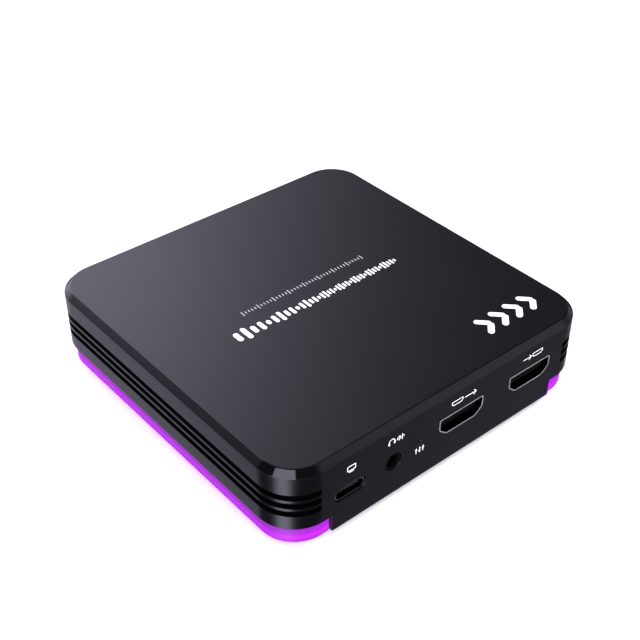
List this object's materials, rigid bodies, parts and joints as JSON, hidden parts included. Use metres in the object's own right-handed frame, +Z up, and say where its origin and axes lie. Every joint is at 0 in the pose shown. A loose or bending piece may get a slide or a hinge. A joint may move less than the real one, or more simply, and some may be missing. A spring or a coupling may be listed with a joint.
{
  "type": "video capture box",
  "caption": "Flat square box that captures a video signal for a computer, with two video sockets, a type C socket, an audio jack and a light strip round its foot.",
  "frame": {"origin": "centre of the footprint, on the surface that the rubber feet stand on", "axes": "+Z up; the sockets face -Y; +X is to the right as the sockets are faced"},
  "size_m": [0.1, 0.1, 0.0241],
  "materials": {
    "housing_plastic": "fine satin moulded black plastic",
    "base_plastic": "fine matt moulded black plastic",
    "light_guide": "milky translucent moulded plastic, lit purple",
    "light_strip": "white coated flexible printed strip",
    "emitter": "clear resin light emitters",
    "connector_plastic": "heat resistant cream moulded plastic",
    "foot_rubber": "matt black rubber",
    "screw_steel": "black zinc plated steel",
    "board": "green solder resist on glass fibre laminate",
    "socket_metal": "nickel plated folded steel",
    "socket_plastic": "black moulded insulator",
    "contact_metal": "gold flashed contacts",
    "jack_plastic": "black moulded jack",
    "switch_plastic": "black moulded switch case and plunger",
    "switch_metal": "plated steel cover and snap disc",
    "chip_plastic": "moulded black chip packages",
    "thermal_pad": "grey blue silicone pad",
    "sink_aluminium": "black anodised extruded aluminium",
    "inductor": "pressed ferrite powder",
    "capacitor_can": "bright aluminium cans",
    "crystal_can": "plated steel lids",
    "ceramic": "fired ceramic blocks"
  },
  "bodies": {
    "casing": {"upper_housing": "housing_plastic", "base": "base_plastic", "light_guide": "light_guide", "light_strip": "light_strip", "light_emitters": "emitter", "light_connector": "connector_plastic", "rubber_feet": "foot_rubber", "case_screws": "screw_steel", "main_board": "board", "board_screws": "screw_steel", "video_in_shell": "socket_metal", "video_in_insulator": "socket_plastic", "video_in_contacts": "contact_metal", "video_out_shell": "socket_metal", "video_out_insulator": "socket_plastic", "video_out_contacts": "contact_metal", "usb_c_shell": "socket_metal", "usb_c_tongue": "socket_plastic", "usb_c_contacts": "contact_metal", "audio_jack_body": "jack_plastic", "audio_jack_contacts": "contact_metal", "mix_switch_body": "switch_plastic", "mix_switch_cover": "switch_metal", "mix_switch_dome": "switch_metal", "capture_processor": "chip_plastic", "thermal_pad": "thermal_pad", "heat_sink": "sink_aluminium", "video_receiver_chip": "chip_plastic", "video_splitter_chip": "chip_plastic", "usb_bridge_chip": "chip_plastic", "audio_chip": "chip_plastic", "memory_chips": "chip_plastic", "flash_chip": "chip_plastic", "power_inductors": "inductor", "power_capacitors": "capacitor_can", "clock_crystals": "crystal_can", "ceramic_capacitors": "ceramic"},
    "switch_plunger": {"mix_switch_plunger": "switch_plastic"}
  },
  "joints": [
    {"name": "mix_switch_press", "type": "slide", "parent": "casing", "child": "switch_plunger", "axis": [0, 1, 0], "range_m": [0, 0.00025], "stiffness_N_per_m": 6400}
  ]
}
